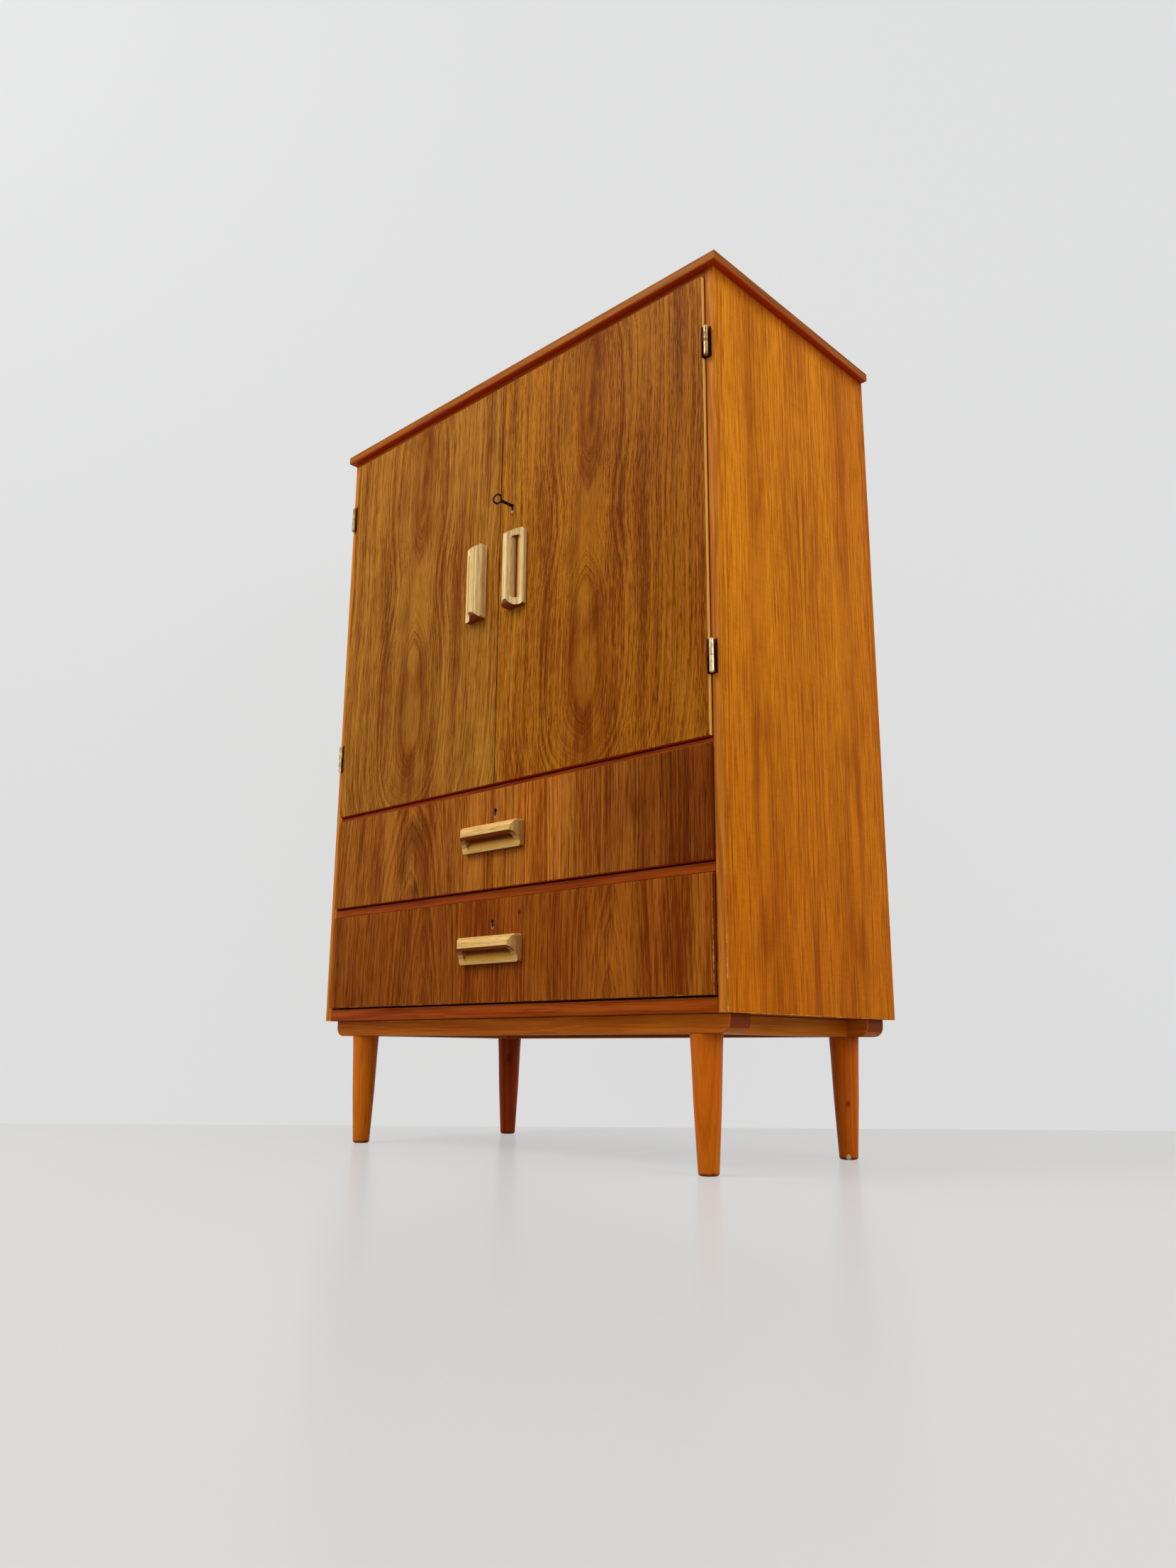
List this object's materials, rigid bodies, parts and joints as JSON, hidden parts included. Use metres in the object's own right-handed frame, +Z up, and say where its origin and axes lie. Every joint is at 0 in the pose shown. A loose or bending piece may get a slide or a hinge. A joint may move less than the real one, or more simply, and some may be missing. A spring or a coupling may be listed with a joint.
{
  "type": "wardrobe with doors",
  "caption": "Teak wardrobe with hinged doors over full-width drawers, scooped oak pulls, door lock and key, hanging rail and hat shelf inside, on a plinth frame with turned tapered legs.",
  "frame": {"origin": "on the floor, in the middle of the space the whole wardrobe takes up with its doors and drawers shut, the key included", "axes": "+X to the viewer's right, +Y towards the back, +Z up; the doors and drawers face -Y"},
  "size_m": [1.024, 0.5375, 1.4783],
  "materials": {
    "teak_front": "oiled teak veneer, mid brown, upright figured grain, satin",
    "teak_side": "oiled teak veneer, orange brown, straight upright grain, satin",
    "teak_top": "oiled teak veneer with solid lipping, orange brown, satin",
    "teak_rail": "teak veneer, red brown, matt",
    "beech_frame": "stained beech, amber, satin",
    "beech_leg": "turned and stained beech, amber, satin",
    "beech_inner": "plain beech, matt",
    "plywood": "thin plywood, matt",
    "oak_pull": "solid oak, waxed, open grain",
    "brass_lock": "dull lacquered brass",
    "brass_hinge": "aged brass",
    "dark_steel": "blued steel, dulled",
    "nickel_liner": "drawn strip, bright"
  },
  "bodies": {
    "cabinet": {"top_panel": "teak_top", "inner_top": "teak_rail", "cabinet_floor": "teak_rail", "drawer_divider": "teak_rail", "bottom_panel": "teak_rail", "back_panel": "plywood", "hat_shelf": "teak_rail", "hanging_rail": "beech_inner", "side_panel_left": "teak_side", "side_panel_right": "teak_side", "shelf_bearer_left": "beech_inner", "shelf_bearer_right": "beech_inner", "upper_runner_left": "beech_inner", "upper_runner_right": "beech_inner", "lower_runner_left": "beech_inner", "lower_runner_right": "beech_inner", "plinth_rail_front": "beech_frame", "plinth_rail_back": "beech_frame", "plinth_rail_left": "beech_frame", "plinth_rail_right": "beech_frame", "leg_front_left": "beech_leg", "leg_front_right": "beech_leg", "leg_back_left": "beech_leg", "leg_back_right": "beech_leg", "hinge_left_lower_case_leaf": "brass_hinge", "hinge_left_upper_case_leaf": "brass_hinge", "hinge_right_lower_case_leaf": "brass_hinge", "hinge_right_upper_case_leaf": "brass_hinge"},
    "left_door": {"door_left": "teak_front", "door_pull_left": "oak_pull", "left_door_bolt_guide": "brass_lock", "hinge_left_lower_door_leaf": "brass_hinge", "hinge_left_upper_door_leaf": "brass_hinge"},
    "right_door": {"door_right": "teak_front", "door_pull_right": "oak_pull", "door_lock_case": "brass_lock", "door_keyhole_liner": "nickel_liner", "hinge_right_lower_door_leaf": "brass_hinge", "hinge_right_upper_door_leaf": "brass_hinge"},
    "left_bolt": {"left_door_bolt": "dark_steel"},
    "door_key": {"key": "dark_steel"},
    "right_door_bolt": {"door_lock_bolt": "brass_lock"},
    "upper_drawer": {"upper_drawer_front": "teak_front", "upper_drawer_side_left": "beech_inner", "upper_drawer_side_right": "beech_inner", "upper_drawer_back": "beech_inner", "upper_drawer_bottom": "plywood", "upper_drawer_lock_case": "brass_lock", "upper_drawer_pull": "oak_pull", "upper_drawer_keyhole_liner": "nickel_liner"},
    "upper_drawer_bolt": {"upper_drawer_lock_bolt": "brass_lock"},
    "lower_drawer": {"lower_drawer_front": "teak_front", "lower_drawer_side_left": "beech_inner", "lower_drawer_side_right": "beech_inner", "lower_drawer_back": "beech_inner", "lower_drawer_bottom": "plywood", "lower_drawer_lock_case": "brass_lock", "lower_drawer_pull": "oak_pull", "lower_drawer_keyhole_liner": "nickel_liner"},
    "lower_drawer_bolt": {"lower_drawer_lock_bolt": "brass_lock"}
  },
  "joints": [
    {"name": "right_door_hinge", "type": "hinge", "parent": "cabinet", "child": "right_door", "pos_m": [0.488, -0.22075, 1.0455], "axis": [0, 0, 1], "range_deg": [0, 170]},
    {"name": "left_door_hinge", "type": "hinge", "parent": "cabinet", "child": "left_door", "pos_m": [-0.488, -0.22075, 1.0455], "axis": [0, 0, -1], "range_deg": [0, 170]},
    {"name": "key_turn", "type": "hinge", "parent": "right_door", "child": "door_key", "pos_m": [0.0265, -0.24225, 1.179], "axis": [0, 1, 0], "range_deg": [-35, 145]},
    {"name": "door_lock_bolt_slide", "type": "slide", "parent": "right_door", "child": "right_door_bolt", "axis": [-1, 0, 0], "range_m": [-0.00228, 0.00943]},
    {"name": "left_door_bolt_slide", "type": "slide", "parent": "left_door", "child": "left_bolt", "axis": [0, 0, 1], "range_m": [0, 0.009]},
    {"name": "upper_drawer_slide", "type": "slide", "parent": "cabinet", "child": "upper_drawer", "axis": [0, -1, 0], "range_m": [0, 0.38]},
    {"name": "upper_drawer_bolt_slide", "type": "slide", "parent": "upper_drawer", "child": "upper_drawer_bolt", "axis": [0, 0, 1], "range_m": [0, 0.01]},
    {"name": "lower_drawer_slide", "type": "slide", "parent": "cabinet", "child": "lower_drawer", "axis": [0, -1, 0], "range_m": [0, 0.38]},
    {"name": "lower_drawer_bolt_slide", "type": "slide", "parent": "lower_drawer", "child": "lower_drawer_bolt", "axis": [0, 0, 1], "range_m": [0, 0.01]}
  ],
  "couplings": [
    {"joint": "door_lock_bolt_slide", "follows": "key_turn", "m_per_rad": 0.0037205}
  ]
}
